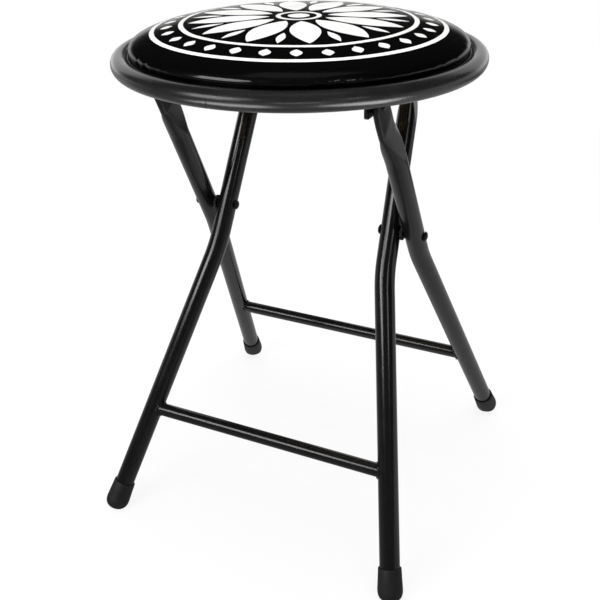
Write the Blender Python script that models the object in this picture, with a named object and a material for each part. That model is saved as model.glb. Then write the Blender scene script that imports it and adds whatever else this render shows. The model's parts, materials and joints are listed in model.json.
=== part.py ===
"""Folding stool: two crossed tube frames riveted together, and a round padded seat in a tube rim.

Metres, +Z up, +Y to the back of the seat, X from one leg to the other.
The outer frame carries the seat hinge at the front. The inner frame carries a catch bar
at the back, which stands in two blocks under the seat.
Places are written from the seat's centre, and the last step moves the origin to the floor
under the middle of the whole stool.
"""

import math

import bmesh
import bpy
from mathutils import Matrix, Vector

# Gap that two touching pieces keep, and how far a cutter runs past the piece it cuts
GAP = 0.0003
CUT_PAST = 0.008

# Leg tube, pressed flat at its top end
TUBE_DIAMETER = 0.0183
TUBE_WALL = 0.0012
TUBE_SIDES = 14
KNEE_RADIUS = 0.170
KNEE_STEPS = 5
FLAT_THICKNESS = 0.0055
FLAT_WIDTH = FLAT_THICKNESS + math.pi * (TUBE_DIAMETER - FLAT_THICKNESS) / 2
FLAT_ROUND_LENGTH = 0.36 * FLAT_WIDTH
FLAT_ROUND_STEPS = 4
FLAT_ROUND_REACH = 70
FLAT_STRAIGHT = 0.014
FLAT_TAPER = 0.048
FLAT_TAPER_STEPS = 6

# Seat rim: a bent tube with its butt joint at the front
RIM_OUTER_RADIUS = 0.1564
RIM_TUBE_DIAMETER = 0.0152
RIM_CENTRE_RADIUS = RIM_OUTER_RADIUS - RIM_TUBE_DIAMETER / 2
RIM_CENTRE_Z = 0.4359
RIM_WALL = 0.0014
RIM_SEGMENTS = 60
RIM_SIDES = 12
RIM_BORE_SIDES = 6
RIM_SEAM_WIDTH = 0.0016
RIM_SEAM_DEPTH = 0.0005
RIM_VENT_DIAMETER = 0.004
RIM_VENT_TURN = 90

# Straps welded across the rim
FRONT_STRAP_WIDTH = 0.036
REAR_STRAP_WIDTH = 0.045
STRAP_THICKNESS = 0.003
STRAP_RISE = 0.0030
STRAP_TOP_Z = RIM_CENTRE_Z + STRAP_RISE
STRAP_UNDER_Z = STRAP_TOP_Z - STRAP_THICKNESS - GAP

# Seat pad, which stands on the straps
PAD_RIM_INSET = 0.0064
PAD_RADIUS = RIM_CENTRE_RADIUS - PAD_RIM_INSET
PAD_BOTTOM_Z = STRAP_TOP_Z + GAP
PAD_EDGE_RISE = 0.0063
PAD_CROWN_RISE = 0.0269
PAD_TOP_POWER = 2.2
PAD_SIDE_POWER = 2.5
PAD_DOME_STEPS = 9
PAD_SEGMENTS = 48
COVER_THICKNESS = 0.0009
COVER_LIP_WIDTH = 0.0164
BOARD_THICKNESS = 0.008
BOARD_INSET = 0.0012

# Seat hinge and catch bar centres
HINGE_INSET = 0.0804
HINGE_Y = HINGE_INSET - RIM_CENTRE_RADIUS
HINGE_CLEARANCE = 0.0016
HINGE_Z = STRAP_UNDER_Z - FLAT_WIDTH / 2 - HINGE_CLEARANCE
CATCH_BAR_DIAMETER = 0.010
CATCH_SPIGOT_DIAMETER = 0.007
CATCH_HEAD_DIAMETER = 0.0105
CATCH_HEAD_HEIGHT = 0.0016
CATCH_ROOF = 0.0063
CATCH_INSET = 0.0658
CATCH_Y = RIM_CENTRE_RADIUS - CATCH_INSET
CATCH_Z = STRAP_UNDER_Z - CATCH_ROOF - CATCH_BAR_DIAMETER / 2 - GAP

# Inner frame: front feet, rear tops. A spread is how far the leg's lower point lies outside the upper
LEG_TOP_INSET = 0.0797
INNER_TOP_X = RIM_OUTER_RADIUS - LEG_TOP_INSET
INNER_FLAT_OFFSET = 0.0
INNER_UPPER_SPREAD = 0.0091
INNER_KNEE_X = INNER_TOP_X + INNER_UPPER_SPREAD
INNER_KNEE_Y = -0.0096
INNER_KNEE_Z = 0.2484
INNER_LOWER_SPREAD = 0.0624
INNER_FOOT_X = INNER_KNEE_X + INNER_LOWER_SPREAD
INNER_FOOT_Y = -0.1430
INNER_BAR_Z = 0.0960

# Outer frame: rear feet, front tops
TOP_SPACING = 0.0211
OUTER_TOP_X = INNER_TOP_X + TOP_SPACING
OUTER_FLAT_OFFSET = 0.0019
KNEE_SPACING = 0.0035
OUTER_KNEE_X = INNER_KNEE_X + TUBE_DIAMETER + KNEE_SPACING
OUTER_KNEE_Y = 0.0233
OUTER_KNEE_Z = 0.2588
OUTER_LOWER_SPREAD = 0.0490
OUTER_FOOT_X = OUTER_KNEE_X + OUTER_LOWER_SPREAD
OUTER_FOOT_Y = 0.1780
OUTER_BAR_Z = 0.1042

# Crossbars between the lower legs
BAR_DIAMETER = 0.0127
BAR_WALL = 0.0012
BAR_SIDES = 14

# Rivets
RIVET_DIAMETER = 0.006
RIVET_HEAD_DIAMETER = 0.0092
RIVET_HEAD_HEIGHT = 0.0024
RIVET_SEGMENTS = 12
SPACER_DIAMETER = 0.0136
SPACER_FLUTES = 14
SPACER_FLUTE_DEPTH = 0.0007
WASHER_DIAMETER = 0.015
WASHER_THICKNESS = 0.001
WASHER_SEGMENTS = 20

# Hinge brackets
BRACKET_THICKNESS = 0.0025
BRACKET_DEPTH = 0.032
BRACKET_DROP = 0.0092
BRACKET_FLANGE = 0.012
BRACKET_CORNER = 0.003
BRACKET_SCREW_SPREAD = 0.018

# Catch blocks
BLOCK_INSET = 0.0267
BLOCK_X = INNER_TOP_X - BLOCK_INSET
BLOCK_WIDTH = 0.024
BLOCK_WALL = 0.006
BLOCK_DROP = 0.0065
BLOCK_FLANGE = 0.009
BLOCK_FLANGE_THICKNESS = 0.0035
BLOCK_LEAD_ANGLE = 40
BLOCK_LEAD_RISE = 0.0015
BLOCK_ROOF_STEPS = 6

# Screws
SCREW_DIAMETER = 0.0038
SCREW_HEAD_DIAMETER = 0.0076
SCREW_HEAD_HEIGHT = 0.0018
SCREW_HEAD_FLAT = 0.6
SCREW_BITE = 0.006
SCREW_RECESS = 0.0010
SCREW_SEGMENTS = 8

# Foot tips
TIP_WALL = 0.0020
TIP_DIAMETER = TUBE_DIAMETER + 2 * (GAP + TIP_WALL)
TIP_TAPER = 0.0006
TIP_LENGTH = 0.030
TIP_ROUND_STEPS = 5
TIP_CUT = 0.0033
TIP_MOUTH = 0.0006
TIP_SEGMENTS = 16

SIDES = (("left", -1), ("right", 1))


def clear_scene():
    for item in list(bpy.data.objects):
        bpy.data.objects.remove(item)


def material(name, colour, roughness, metallic):
    made = bpy.data.materials.new(name)
    made.use_nodes = True
    shader = made.node_tree.nodes["Principled BSDF"]
    shader.inputs["Base Color"].default_value = (*colour, 1)
    shader.inputs["Roughness"].default_value = roughness
    shader.inputs["Metallic"].default_value = metallic
    made.diffuse_color = (*colour, 1)
    return made


def powder_coat(name):
    return material(name, (0.014, 0.014, 0.015), 0.32, 0.0)


def black_rubber(name):
    return material(name, (0.012, 0.012, 0.012), 0.6, 0.0)


def black_plastic(name):
    return material(name, (0.010, 0.010, 0.010), 0.45, 0.0)


def dark_steel(name):
    return material(name, (0.03, 0.03, 0.032), 0.35, 0.8)


def add_object(name, mesh_builder, surface, parent=None, round_angle=35):
    """One named object from a bmesh, smooth where its faces meet below round_angle."""
    bmesh.ops.recalc_face_normals(mesh_builder, faces=mesh_builder.faces)
    if mesh_builder.calc_volume(signed=True) < 0:
        bmesh.ops.reverse_faces(mesh_builder, faces=mesh_builder.faces)
    mesh = bpy.data.meshes.new(name)
    mesh_builder.to_mesh(mesh)
    mesh_builder.free()
    if round_angle:
        mesh.shade_smooth()
        mesh.set_sharp_from_angle(angle=math.radians(round_angle))
    thing = bpy.data.objects.new(name, mesh)
    bpy.context.collection.objects.link(thing)
    if surface:
        mesh.materials.append(surface)
    if parent:
        thing.parent = parent
        thing.matrix_parent_inverse = parent.matrix_world.inverted()
    return thing


def add_pivot(name, place, parent=None):
    """An empty on a joint's axis, which its moving pieces are parented to."""
    empty = bpy.data.objects.new(name, None)
    bpy.context.collection.objects.link(empty)
    empty.matrix_world = Matrix.Translation(place)
    if parent:
        empty.parent = parent
        empty.matrix_parent_inverse = parent.matrix_world.inverted()
    bpy.context.view_layer.update()
    return empty


def as_cutter(thing):
    thing.hide_render = True
    thing.display_type = "WIRE"
    return thing


def cut(thing, cutter):
    """Boolean difference, kept as a modifier."""
    step = thing.modifiers.new("cut", "BOOLEAN")
    step.operation = "DIFFERENCE"
    step.solver = "EXACT"
    step.object = cutter
    return step


def rod_mesh(start, end, radius, sides):
    """A closed round rod between two points."""
    start, end = Vector(start), Vector(end)
    along = end - start
    turn = along.to_track_quat("Z", "Y").to_matrix().to_4x4()
    builder = bmesh.new()
    bmesh.ops.create_cone(
        builder, cap_ends=True, segments=sides, radius1=radius, radius2=radius, depth=along.length,
        matrix=Matrix.Translation((start + end) / 2) @ turn)
    return builder


def rod_cutter(name, start, end, radius, sides=16):
    return as_cutter(add_object(name, rod_mesh(start, end, radius, sides), None))


def box_mesh(low, high):
    low, high = Vector(low), Vector(high)
    builder = bmesh.new()
    size = Matrix.Diagonal((*(high - low), 1))
    bmesh.ops.create_cube(builder, size=1, matrix=Matrix.Translation((low + high) / 2) @ size)
    return builder


def turned_mesh(profile, steps, place=None, closed=False):
    """Spin (radius, height) points once round Z. A closed profile makes a ring."""
    builder = bmesh.new()
    points = [builder.verts.new((radius, 0, height)) for radius, height in profile]
    edges = [builder.edges.new(pair) for pair in zip(points, points[1:])]
    if closed:
        edges.append(builder.edges.new((points[-1], points[0])))
    bmesh.ops.spin(
        builder, geom=points + edges, cent=(0, 0, 0), axis=(0, 0, 1), angle=math.tau, steps=steps,
        use_merge=True, use_duplicate=False)
    bmesh.ops.remove_doubles(builder, verts=builder.verts, dist=0.000005)
    if place:
        bmesh.ops.transform(builder, matrix=place, verts=builder.verts)
    return builder


def outline_mesh(outline, low, high, place):
    """Raise a flat closed outline from low to high along its own Z."""
    builder = bmesh.new()
    face = builder.faces.new([builder.verts.new((u, v, low)) for u, v in outline])
    raised = bmesh.ops.extrude_face_region(builder, geom=[face])
    top = [item for item in raised["geom"] if isinstance(item, bmesh.types.BMVert)]
    bmesh.ops.translate(builder, vec=(0, 0, high - low), verts=top)
    bmesh.ops.transform(builder, matrix=place, verts=builder.verts)
    return builder


def along_x(place):
    """Turn an outline's U to Y, its V to Z and its height to X."""
    columns = Matrix(((0, 0, 1, 0), (1, 0, 0, 0), (0, 1, 0, 0), (0, 0, 0, 1)))
    return Matrix.Translation(place) @ columns


def bend_points(before, corner, after, radius, steps):
    """Points of the arc that rounds a corner of a tube's centre line."""
    back = (before - corner).normalized()
    ahead = (after - corner).normalized()
    half = back.angle(ahead) / 2
    reach = radius / math.tan(half)
    centre = corner + (back + ahead).normalized() * (radius / math.sin(half))
    first = corner + back * reach - centre
    turn_axis = first.cross(corner + ahead * reach - centre)
    sweep = first.angle(corner + ahead * reach - centre)
    return [centre + Matrix.Rotation(sweep * step / steps, 3, turn_axis) @ first
            for step in range(steps + 1)]


class Leg:
    """Centre line of one leg: foot, knee, neck and flattened top, on the +X side.

    The flat lies nearer the middle than the round tube's line, by the offset.
    """

    def __init__(self, foot_x, foot_y, knee, top_x, offset, eye_y, eye_z):
        self.foot = Vector((foot_x, foot_y, 0))
        self.knee = Vector(knee)
        self.eye = Vector((top_x, eye_y, eye_z))
        upper = (self.eye - self.knee)
        upper.x = 0
        self.upper = upper.normalized()
        self.offset = Vector((offset, 0, 0))
        self.neck = self.eye - self.upper * FLAT_STRAIGHT + self.offset
        self.lower = (self.knee - self.foot).normalized()

    def at_height(self, height):
        """Point on the straight lower leg."""
        return self.foot.lerp(self.knee, height / self.knee.z)

    def side_point(self, height):
        """Point on the upper leg."""
        share = (height - self.knee.z) / (self.neck.z - self.knee.z)
        return self.knee.lerp(self.neck, share)


def outer_leg():
    knee = (OUTER_KNEE_X, OUTER_KNEE_Y, OUTER_KNEE_Z)
    return Leg(OUTER_FOOT_X, OUTER_FOOT_Y, knee, OUTER_TOP_X, OUTER_FLAT_OFFSET, HINGE_Y, HINGE_Z)


def inner_leg():
    knee = (INNER_KNEE_X, INNER_KNEE_Y, INNER_KNEE_Z)
    return Leg(INNER_FOOT_X, INNER_FOOT_Y, knee, INNER_TOP_X, INNER_FLAT_OFFSET, CATCH_Y, CATCH_Z)


def frame_crossing(outer, inner):
    """Side view crossing of the two upper legs, as (y, z)."""
    outer_slope = outer.upper.y / outer.upper.z
    inner_slope = inner.upper.y / inner.upper.z
    at_outer = outer.knee.y - outer_slope * outer.knee.z
    at_inner = inner.knee.y - inner_slope * inner.knee.z
    height = (at_inner - at_outer) / (outer_slope - inner_slope)
    return at_outer + outer_slope * height, height


def section(centre, tangent, thickness, width):
    """One ring of tube points: thickness across X, width across the leg."""
    across = Vector((1, 0, 0))
    across = (across - tangent * across.dot(tangent)).normalized()
    wide = tangent.cross(across)
    straight = (width - thickness) / 2
    ring = []
    for index in range(TUBE_SIDES):
        angle = math.tau * (index + 0.5) / TUBE_SIDES
        rise = math.sin(angle) * thickness / 2 + math.copysign(straight, math.sin(angle))
        ring.append(centre + across * (math.cos(angle) * thickness / 2) + wide * rise)
    return ring


def pressed_width(thickness):
    """Width of a tube pressed to this thickness, which keeps its girth."""
    return thickness + math.pi * (TUBE_DIAMETER - thickness) / 2


def leg_stations(leg, start):
    """(centre, tangent, thickness, width) along a leg from its tip to its rounded top."""
    knee_path = bend_points(leg.foot, leg.knee, leg.neck, KNEE_RADIUS, KNEE_STEPS)
    upper = (leg.neck - leg.knee).normalized()
    stations = [(start, leg.lower, TUBE_DIAMETER, TUBE_DIAMETER)]
    for index, point in enumerate(knee_path):
        tangent = leg.lower.lerp(upper, index / (len(knee_path) - 1)).normalized()
        stations.append((point, tangent, TUBE_DIAMETER, TUBE_DIAMETER))
    for step in range(FLAT_TAPER_STEPS + 1):
        share = step / FLAT_TAPER_STEPS
        eased = share * share * (3 - 2 * share)
        thickness = TUBE_DIAMETER + (FLAT_THICKNESS - TUBE_DIAMETER) * eased
        centre = leg.neck - upper * FLAT_TAPER * (1 - share) - leg.offset * eased
        tangent = upper.lerp(leg.upper, 0.5).normalized() if share == 1 else upper
        stations.append((centre, tangent, thickness, pressed_width(thickness)))
    for step in range(FLAT_ROUND_STEPS):
        share = math.sin(math.radians(FLAT_ROUND_REACH) * step / (FLAT_ROUND_STEPS - 1))
        width = max(FLAT_WIDTH * math.sqrt(1 - share * share), FLAT_THICKNESS)
        centre = leg.eye + leg.upper * FLAT_ROUND_LENGTH * share
        stations.append((centre, leg.upper, FLAT_THICKNESS, width))
    return stations


def tube_mesh(stations, wall, mirror):
    """A hollow tube through its stations, open at both ends."""
    builder = bmesh.new()
    skins = []
    for inset in (0, wall):
        rings = []
        for centre, tangent, thickness, width in stations:
            points = section(centre, tangent, thickness - 2 * inset, width - 2 * inset)
            rings.append([builder.verts.new((point.x * mirror, point.y, point.z)) for point in points])
        skins.append(rings)
    for rings in skins:
        for low, high in zip(rings, rings[1:]):
            join_rings(builder, low, high)
    for end in (0, -1):
        join_rings(builder, skins[0][end], skins[1][end])
    return builder


def join_rings(builder, low, high):
    count = len(low)
    for index in range(count):
        after = (index + 1) % count
        builder.faces.new((low[index], low[after], high[after], high[index]))


def tip_start(leg):
    """Centre of a foot tip's round end, where the tube stops inside it."""
    return leg.at_height(TIP_DIAMETER / 2 - TIP_CUT)


def make_leg(name, leg, mirror, holes, parent):
    builder = tube_mesh(leg_stations(leg, tip_start(leg)), TUBE_WALL, mirror)
    thing = add_object(name, builder, powder_coat(name), parent)
    for hole in holes:
        cut(thing, hole)
    return thing


def make_tip(name, leg, mirror, parent):
    """A rubber tip over the tube's end, round below and cut flat where it stands."""
    wide = TIP_DIAMETER / 2
    narrow = wide - TIP_TAPER
    bore = TUBE_DIAMETER / 2 + GAP
    top = TIP_LENGTH - wide
    profile = []
    for step in range(TIP_ROUND_STEPS + 1):
        angle = math.pi / 2 * step / TIP_ROUND_STEPS
        profile.append((wide * math.sin(angle), -wide * math.cos(angle)))
    profile += [(narrow, top - TIP_MOUTH), (narrow - TIP_MOUTH, top), (bore + TIP_MOUTH / 2, top),
                (bore, top - TIP_MOUTH), (bore, -GAP), (0, -GAP)]
    turn = leg.lower.to_track_quat("Z", "Y").to_matrix().to_4x4()
    flip = Matrix.Diagonal((mirror, 1, 1, 1))
    place = flip @ Matrix.Translation(tip_start(leg)) @ turn
    builder = turned_mesh(profile, TIP_SEGMENTS, place)
    floor = bmesh.ops.bisect_plane(
        builder, geom=builder.verts[:] + builder.edges[:] + builder.faces[:], plane_co=(0, 0, 0),
        plane_no=(0, 0, -1), clear_outer=True, dist=0.000001)
    rim = [item for item in floor["geom_cut"] if isinstance(item, bmesh.types.BMEdge)]
    bmesh.ops.edgeloop_fill(builder, edges=rim)
    return add_object(name, builder, black_rubber(name), parent, 50)


def make_crossbar(name, leg, height, parent):
    """A tube welded between two legs, its ends hollowed to fit round them."""
    end = leg.at_height(height)
    radius = BAR_DIAMETER / 2
    builder = rod_mesh((-end.x, end.y, end.z), (end.x, end.y, end.z), radius, BAR_SIDES)
    thing = add_object(name, builder, powder_coat(name), parent)
    bore = rod_cutter(name + "_bore", (-2 * end.x, end.y, end.z), (2 * end.x, end.y, end.z),
                      radius - BAR_WALL, BAR_SIDES)
    cut(thing, bore)
    for side, mirror in SIDES:
        foot = Vector((leg.foot.x * mirror, leg.foot.y, leg.foot.z))
        knee = Vector((leg.knee.x * mirror, leg.knee.y, leg.knee.z))
        cope = rod_cutter(name + "_cope_" + side, foot, knee, TUBE_DIAMETER / 2 + GAP, 32)
        cut(thing, cope)
    return thing


def dome_profile(radius, height, steps=3):
    """Half outline of a low domed head, from its middle to its edge."""
    points = []
    for step in range(steps + 1):
        angle = math.pi / 2 * step / steps
        points.append((radius * math.sin(angle), height * math.cos(angle)))
    points[0] = (0, height)
    return points


def rivet_profile(shank, length, head, height):
    """Outline of a rivet with a dome at both ends; the grip runs from 0 to length."""
    top = [(radius, length + rise) for radius, rise in dome_profile(head, height)]
    bottom = [(radius, -rise) for radius, rise in reversed(dome_profile(head, height))]
    return top + [(shank, length), (shank, 0)] + bottom


def make_rivet(name, low_x, high_x, place, mirror, parent, surface,
               shank=RIVET_DIAMETER / 2, head=RIVET_HEAD_DIAMETER / 2, height=RIVET_HEAD_HEIGHT):
    """A rivet along X, its grip from low_x to high_x on the +X side."""
    profile = rivet_profile(shank, high_x - low_x, head, height)
    turn = Matrix.Rotation(math.pi / 2 * mirror, 4, "Y")
    spot = Matrix.Translation((low_x * mirror, place[0], place[1]))
    return add_object(name, turned_mesh(profile, RIVET_SEGMENTS, spot @ turn), surface, parent)


def make_spacer(name, low_x, high_x, place, mirror, parent):
    """A fluted bush on the pivot rivet, between the two legs."""
    outline = []
    radius = SPACER_DIAMETER / 2
    for index in range(SPACER_FLUTES * 2):
        reach = radius - (SPACER_FLUTE_DEPTH if index % 2 else 0)
        angle = math.tau * index / (SPACER_FLUTES * 2)
        outline.append((reach * math.cos(angle), reach * math.sin(angle)))
    low, high = sorted((low_x * mirror, high_x * mirror))
    builder = outline_mesh(outline, low, high, along_x((0, place[0], place[1])))
    thing = add_object(name, builder, black_plastic(name), parent, 20)
    hole = rod_cutter(name + "_hole", (low - CUT_PAST, *place), (high + CUT_PAST, *place),
                      RIVET_DIAMETER / 2 + GAP)
    cut(thing, hole)
    return thing


def make_washer(name, low_x, high_x, place, mirror, parent):
    outer = WASHER_DIAMETER / 2
    inner = RIVET_DIAMETER / 2 + GAP
    low, high = sorted((low_x * mirror, high_x * mirror))
    profile = [(inner, 0), (outer, 0), (outer, high - low), (inner, high - low)]
    turn = Matrix.Rotation(math.pi / 2, 4, "Y")
    spot = Matrix.Translation((low, *place))
    builder = turned_mesh(profile, WASHER_SEGMENTS, spot @ turn, closed=True)
    return add_object(name, builder, black_plastic(name), parent)


def make_catch_bar(leg, parent):
    """A round bar between the inner frame's flattened tops, headed outside them."""
    inside = leg.eye.x - FLAT_THICKNESS / 2 - GAP
    outside = leg.eye.x + FLAT_THICKNESS / 2 + GAP
    body = CATCH_BAR_DIAMETER / 2
    spigot = CATCH_SPIGOT_DIAMETER / 2
    head = CATCH_HEAD_DIAMETER / 2
    half = [(radius, outside + rise) for radius, rise in dome_profile(head, CATCH_HEAD_HEIGHT, 2)]
    half += [(spigot, outside), (spigot, inside), (body, inside)]
    profile = half + [(radius, -along) for radius, along in reversed(half)]
    turn = Matrix.Rotation(math.pi / 2, 4, "Y")
    spot = Matrix.Translation((0, leg.eye.y, leg.eye.z))
    name = "catch_bar"
    return add_object(name, turned_mesh(profile, 16, spot @ turn), powder_coat(name), parent)


def rim_ring(builder, azimuth, radius, sides):
    ring = []
    for index in range(sides):
        angle = math.tau * index / sides
        reach = RIM_CENTRE_RADIUS + radius * math.cos(angle)
        height = RIM_CENTRE_Z + radius * math.sin(angle)
        ring.append(builder.verts.new((reach * math.cos(azimuth), reach * math.sin(azimuth), height)))
    return ring


def rim_mesh(radius, sides, with_seam):
    """A closed ring of round tube, with a narrow groove where its ends meet."""
    builder = bmesh.new()
    front = -math.pi / 2
    seam = RIM_SEAM_WIDTH / RIM_CENTRE_RADIUS
    stops = [(front + math.tau * (step + 0.5) / RIM_SEGMENTS, radius) for step in range(RIM_SEGMENTS)]
    if with_seam:
        stops += [(front + math.tau - seam / 2, radius), (front + math.tau, radius - RIM_SEAM_DEPTH),
                  (front + math.tau + seam / 2, radius)]
    rings = [rim_ring(builder, azimuth, reach, sides) for azimuth, reach in stops]
    for low, high in zip(rings, rings[1:] + rings[:1]):
        join_rings(builder, low, high)
    return builder


def make_rim(parent):
    name = "seat_rim"
    tube = RIM_TUBE_DIAMETER / 2
    thing = add_object(name, rim_mesh(tube, RIM_SIDES, True), powder_coat(name), parent, 60)
    bore = add_object("rim_bore", rim_mesh(tube - RIM_WALL, RIM_BORE_SIDES, False), None)
    cut(thing, as_cutter(bore))
    turn = math.radians(RIM_VENT_TURN)
    facing = Vector((math.cos(turn), math.sin(turn), 0))
    middle = Vector((0, 0, RIM_CENTRE_Z)) + facing * RIM_CENTRE_RADIUS
    vent = rod_cutter("rim_vent", middle - facing * 2 * tube, middle, RIM_VENT_DIAMETER / 2, 8)
    cut(thing, vent)
    return thing


def rim_fit_cutter():
    """The rim's own solid and the gap round it, which the strap ends are cut to."""
    tube = RIM_TUBE_DIAMETER / 2 + GAP
    return as_cutter(add_object("rim_fit", rim_mesh(tube, RIM_SIDES, False), None))


def make_strap(name, middle_y, width, rim_fit, holes, parent):
    """A flat steel strap across the rim; its ends are cut to the rim's round."""
    reach = math.sqrt(RIM_CENTRE_RADIUS ** 2 - (abs(middle_y) + width / 2) ** 2)
    low = (-reach, middle_y - width / 2, STRAP_TOP_Z - STRAP_THICKNESS)
    high = (reach, middle_y + width / 2, STRAP_TOP_Z)
    thing = add_object(name, box_mesh(low, high), powder_coat(name), parent)
    cut(thing, rim_fit)
    for hole in holes:
        cut(thing, hole)
    return thing


def bracket_outline():
    """Ear seen along X, from its square top to its rounded lower corners."""
    half = BRACKET_DEPTH / 2
    bottom = HINGE_Z - BRACKET_DROP
    outline = [(HINGE_Y + half, STRAP_UNDER_Z), (HINGE_Y - half, STRAP_UNDER_Z)]
    for sign, start in ((-1, 180), (1, 270)):
        for step in range(4):
            angle = math.radians(start + 30 * step)
            middle = HINGE_Y + sign * (half - BRACKET_CORNER)
            outline.append((middle + BRACKET_CORNER * math.cos(angle),
                            bottom + BRACKET_CORNER + BRACKET_CORNER * math.sin(angle)))
    return outline


def bracket_outer_x():
    """Outer face of the hinge bracket's ear, inside the leg's flat and a washer."""
    return OUTER_TOP_X - FLAT_THICKNESS / 2 - 2 * GAP - WASHER_THICKNESS


def make_bracket(name, mirror, holes, parent):
    """An angle bracket: an ear on the hinge rivet and a flange screwed under the strap."""
    outer = bracket_outer_x()
    inner = outer - BRACKET_THICKNESS
    low, high = sorted((inner * mirror, outer * mirror))
    ear = outline_mesh(bracket_outline(), low, high, along_x((0, 0, 0)))
    thing = add_object(name, ear, powder_coat(name), parent)
    half = BRACKET_DEPTH / 2
    edge = (inner - BRACKET_FLANGE) * mirror
    overlap = (inner + BRACKET_THICKNESS / 2) * mirror
    low, high = sorted((edge, overlap))
    flange_low = (low, HINGE_Y - half, STRAP_UNDER_Z - BRACKET_THICKNESS)
    flange_high = (high, HINGE_Y + half, STRAP_UNDER_Z)
    flange = as_cutter(add_object(name + "_flange", box_mesh(flange_low, flange_high), None))
    join = thing.modifiers.new("flange", "BOOLEAN")
    join.operation = "UNION"
    join.solver = "EXACT"
    join.object = flange
    for hole in holes:
        cut(thing, hole)
    return thing


def block_outline():
    """Catch block seen along X: a roof, two jaws and a lead-in that opens to the front."""
    slot = CATCH_BAR_DIAMETER / 2 + GAP
    front = CATCH_Y - slot
    back = CATCH_Y + slot
    flange = STRAP_UNDER_Z - BLOCK_FLANGE_THICKNESS
    bottom = CATCH_Z - BLOCK_DROP
    front_out = front - BLOCK_WALL
    back_out = back + BLOCK_WALL
    lead = CATCH_Z + BLOCK_LEAD_RISE
    front_bottom = lead - BLOCK_WALL / math.tan(math.radians(BLOCK_LEAD_ANGLE))
    outline = [(front_out - BLOCK_FLANGE, STRAP_UNDER_Z), (front_out - BLOCK_FLANGE, flange),
               (front_out, flange), (front_out, max(front_bottom, bottom)), (front, lead)]
    for step in range(1, BLOCK_ROOF_STEPS):
        angle = math.radians(180 - 180 * step / BLOCK_ROOF_STEPS)
        outline.append((CATCH_Y + slot * math.cos(angle), CATCH_Z + slot * math.sin(angle)))
    outline += [(back, CATCH_Z), (back, bottom), (back_out, bottom), (back_out, flange),
                (back_out + BLOCK_FLANGE, flange), (back_out + BLOCK_FLANGE, STRAP_UNDER_Z)]
    return outline


def make_block(name, mirror, holes, parent):
    low = BLOCK_X * mirror - BLOCK_WIDTH / 2
    builder = outline_mesh(block_outline(), low, low + BLOCK_WIDTH, along_x((0, 0, 0)))
    thing = add_object(name, builder, black_plastic(name), parent, 20)
    for hole in holes:
        cut(thing, hole)
    return thing


def make_screw(name, place, parent):
    """A pan head screw that points up from (x, y, underside of what it holds)."""
    head = SCREW_HEAD_DIAMETER / 2
    shank = SCREW_DIAMETER / 2
    under = place[2] - GAP
    tip = PAD_BOTTOM_Z + COVER_THICKNESS + SCREW_BITE
    bottom = under - SCREW_HEAD_HEIGHT
    profile = [(0, tip), (shank, tip - 2 * shank), (shank, under), (head, under),
               (head, (under + bottom) / 2), (head * SCREW_HEAD_FLAT, bottom), (shank, bottom),
               (shank / 2, bottom + SCREW_RECESS), (0, bottom + SCREW_RECESS)]
    builder = turned_mesh(profile, SCREW_SEGMENTS, Matrix.Translation((place[0], place[1], 0)))
    return add_object(name, builder, dark_steel(name), parent)


def screw_hole(name, place):
    """Hole for a screw, through the metal and into the board."""
    top = PAD_BOTTOM_Z + COVER_THICKNESS + SCREW_BITE + GAP
    return rod_cutter(name + "_hole", (place[0], place[1], place[2] - CUT_PAST), (place[0], place[1], top),
                      SCREW_DIAMETER / 2 + GAP, SCREW_SEGMENTS)


def pad_outline(inset):
    """Cover outline (radius, z), pushed in by inset, from the crown of its dome to the lower edge."""
    edge = PAD_RADIUS - inset
    edge_z = PAD_BOTTOM_Z + PAD_EDGE_RISE
    rise = PAD_CROWN_RISE - PAD_EDGE_RISE - inset
    points = []
    for step in range(PAD_DOME_STEPS + 1):
        share = math.cos(math.radians(90 * step / PAD_DOME_STEPS))
        points.append((edge * (1 - share ** PAD_TOP_POWER) ** (1 / PAD_SIDE_POWER), edge_z + rise * share))
    tuck = PAD_EDGE_RISE - inset
    points += [(edge - tuck * 0.1, edge_z - tuck * 0.55), (edge - tuck * 0.4, edge_z - tuck)]
    return points


def make_cover(parent):
    """Vinyl cover: a domed top, drawn-in sides and a lip turned under the board."""
    name = "seat_cover"
    outside = pad_outline(0)
    inside = pad_outline(COVER_THICKNESS)
    lip = PAD_RADIUS - COVER_LIP_WIDTH
    profile = outside + [(lip, outside[-1][1]), (lip, inside[-1][1])]
    profile += reversed(inside)
    builder = turned_mesh(profile, PAD_SEGMENTS)
    vinyl = material(name, (0.004, 0.004, 0.004), 0.18, 0.0)
    return add_object(name, builder, vinyl, parent, 50)


def board_top():
    return PAD_BOTTOM_Z + COVER_THICKNESS + GAP + BOARD_THICKNESS


def make_foam(parent):
    name = "seat_foam"
    inside = pad_outline(COVER_THICKNESS + GAP)
    floor = board_top() + GAP
    above = [point for point in inside if point[1] > floor + GAP]
    profile = above + [(above[-1][0], floor), (0, floor)]
    foam = material(name, (0.55, 0.52, 0.42), 0.95, 0.0)
    return add_object(name, turned_mesh(profile, PAD_SEGMENTS), foam, parent, 50)


def make_board(holes, parent):
    name = "seat_board"
    low = PAD_BOTTOM_Z + COVER_THICKNESS + GAP
    edge = PAD_RADIUS - COVER_THICKNESS - GAP - BOARD_INSET
    tuck = 0.4 * PAD_EDGE_RISE
    profile = [(0, board_top()), (edge - BOARD_INSET, board_top()), (edge, board_top() - BOARD_INSET),
               (edge, PAD_BOTTOM_Z + PAD_EDGE_RISE - BOARD_INSET), (edge - tuck, low), (0, low)]
    wood = material(name, (0.45, 0.32, 0.19), 0.8, 0.0)
    thing = add_object(name, turned_mesh(profile, PAD_SEGMENTS), wood, parent)
    for hole in holes:
        cut(thing, hole)
    return thing


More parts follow.
